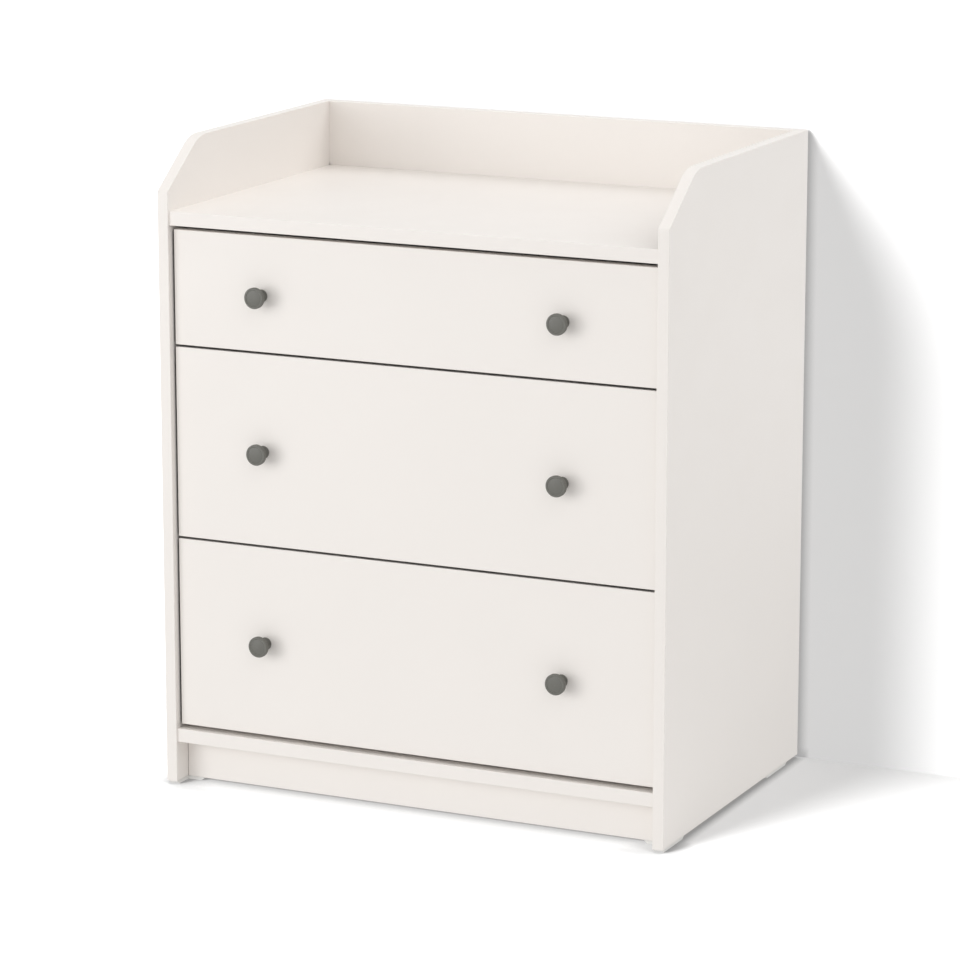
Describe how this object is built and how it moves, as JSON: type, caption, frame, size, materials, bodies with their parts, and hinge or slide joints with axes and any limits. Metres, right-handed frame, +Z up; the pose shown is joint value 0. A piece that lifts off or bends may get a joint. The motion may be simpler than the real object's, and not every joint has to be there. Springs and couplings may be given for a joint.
{
  "type": "changing dresser",
  "caption": "White chest of inset drawers on roller runners, with round grey knobs, a recessed plinth and a raised rim on three sides of its top for a changing mat.",
  "frame": {"origin": "on the floor, in the middle of the outer box from the knobs' faces to the rear edges", "axes": "+X to the right of someone who faces the drawers, +Y from the drawer fronts to the back, +Z up"},
  "size_m": [0.7, 0.472, 0.84],
  "materials": {
    "beech": "plain turned beech",
    "box_foil": "matt white foil on particleboard",
    "fibreboard_white": "white painted face of thin fibreboard",
    "glide_plastic": "white moulded plastic",
    "knob_grey": "satin grey powder coat",
    "roller_plastic": "off-white nylon",
    "runner_enamel": "white enamelled steel sheet",
    "white_foil": "satin white foil on particleboard",
    "zinc_alloy": "dull cast zinc alloy",
    "zinc_steel": "bright zinc plate"
  },
  "bodies": {
    "case": {"back_panel": "fibreboard_white", "back_rail": "white_foil", "bottom_board": "white_foil", "case_cam_fittings": "zinc_alloy", "case_dowels": "beech", "case_screws": "zinc_steel", "glide_front_left": "glide_plastic", "glide_front_right": "glide_plastic", "glide_rear_left": "glide_plastic", "glide_rear_right": "glide_plastic", "lower_channel_left": "runner_enamel", "lower_channel_right": "runner_enamel", "middle_channel_left": "runner_enamel", "middle_channel_right": "runner_enamel", "plinth": "white_foil", "side_panel_left": "white_foil", "side_panel_right": "white_foil", "top_board": "white_foil", "upper_channel_left": "runner_enamel", "upper_channel_right": "runner_enamel", "wall_brackets": "zinc_steel"},
    "upper_drawer": {"upper_drawer_back": "box_foil", "upper_drawer_bottom": "fibreboard_white", "upper_drawer_cam_fittings": "zinc_alloy", "upper_drawer_front": "white_foil", "upper_drawer_rail_left": "runner_enamel", "upper_drawer_rail_right": "runner_enamel", "upper_drawer_screws": "zinc_steel", "upper_drawer_side_left": "box_foil", "upper_drawer_side_right": "box_foil", "upper_knob_left": "knob_grey", "upper_knob_right": "knob_grey"},
    "upper_case_rollers": {"upper_case_rollers": "roller_plastic"},
    "upper_drawer_rollers": {"upper_drawer_rollers": "roller_plastic"},
    "middle_drawer": {"middle_drawer_back": "box_foil", "middle_drawer_bottom": "fibreboard_white", "middle_drawer_cam_fittings": "zinc_alloy", "middle_drawer_front": "white_foil", "middle_drawer_rail_left": "runner_enamel", "middle_drawer_rail_right": "runner_enamel", "middle_drawer_screws": "zinc_steel", "middle_drawer_side_left": "box_foil", "middle_drawer_side_right": "box_foil", "middle_knob_left": "knob_grey", "middle_knob_right": "knob_grey"},
    "middle_case_rollers": {"middle_case_rollers": "roller_plastic"},
    "middle_drawer_rollers": {"middle_drawer_rollers": "roller_plastic"},
    "lower_drawer": {"lower_drawer_back": "box_foil", "lower_drawer_bottom": "fibreboard_white", "lower_drawer_cam_fittings": "zinc_alloy", "lower_drawer_front": "white_foil", "lower_drawer_rail_left": "runner_enamel", "lower_drawer_rail_right": "runner_enamel", "lower_drawer_screws": "zinc_steel", "lower_drawer_side_left": "box_foil", "lower_drawer_side_right": "box_foil", "lower_knob_left": "knob_grey", "lower_knob_right": "knob_grey"},
    "lower_case_rollers": {"lower_case_rollers": "roller_plastic"},
    "lower_drawer_rollers": {"lower_drawer_rollers": "roller_plastic"}
  },
  "joints": [
    {"name": "upper_drawer_slide", "type": "slide", "parent": "case", "child": "upper_drawer", "axis": [0, -1, 0], "range_m": [0, 0.3]},
    {"name": "upper_case_roller_spin", "type": "hinge", "parent": "case", "child": "upper_case_rollers", "pos_m": [0, -0.1855, 0.602], "axis": [1, 0, 0], "continuous": true},
    {"name": "upper_drawer_roller_spin", "type": "hinge", "parent": "upper_drawer", "child": "upper_drawer_rollers", "pos_m": [0, 0.1895, 0.6018], "axis": [1, 0, 0], "continuous": true},
    {"name": "middle_drawer_slide", "type": "slide", "parent": "case", "child": "middle_drawer", "axis": [0, -1, 0], "range_m": [0, 0.3]},
    {"name": "middle_case_roller_spin", "type": "hinge", "parent": "case", "child": "middle_case_rollers", "pos_m": [0, -0.1855, 0.35125], "axis": [1, 0, 0], "continuous": true},
    {"name": "middle_drawer_roller_spin", "type": "hinge", "parent": "middle_drawer", "child": "middle_drawer_rollers", "pos_m": [0, 0.1895, 0.35105], "axis": [1, 0, 0], "continuous": true},
    {"name": "lower_drawer_slide", "type": "slide", "parent": "case", "child": "lower_drawer", "axis": [0, -1, 0], "range_m": [0, 0.3]},
    {"name": "lower_case_roller_spin", "type": "hinge", "parent": "case", "child": "lower_case_rollers", "pos_m": [0, -0.1855, 0.1005], "axis": [1, 0, 0], "continuous": true},
    {"name": "lower_drawer_roller_spin", "type": "hinge", "parent": "lower_drawer", "child": "lower_drawer_rollers", "pos_m": [0, 0.1895, 0.1003], "axis": [1, 0, 0], "continuous": true}
  ],
  "couplings": [
    {"joint": "upper_case_roller_spin", "follows": "upper_drawer_slide", "rad_per_m": 125},
    {"joint": "upper_drawer_roller_spin", "follows": "upper_drawer_slide", "rad_per_m": 125},
    {"joint": "middle_case_roller_spin", "follows": "middle_drawer_slide", "rad_per_m": 125},
    {"joint": "middle_drawer_roller_spin", "follows": "middle_drawer_slide", "rad_per_m": 125},
    {"joint": "lower_case_roller_spin", "follows": "lower_drawer_slide", "rad_per_m": 125},
    {"joint": "lower_drawer_roller_spin", "follows": "lower_drawer_slide", "rad_per_m": 125}
  ]
}
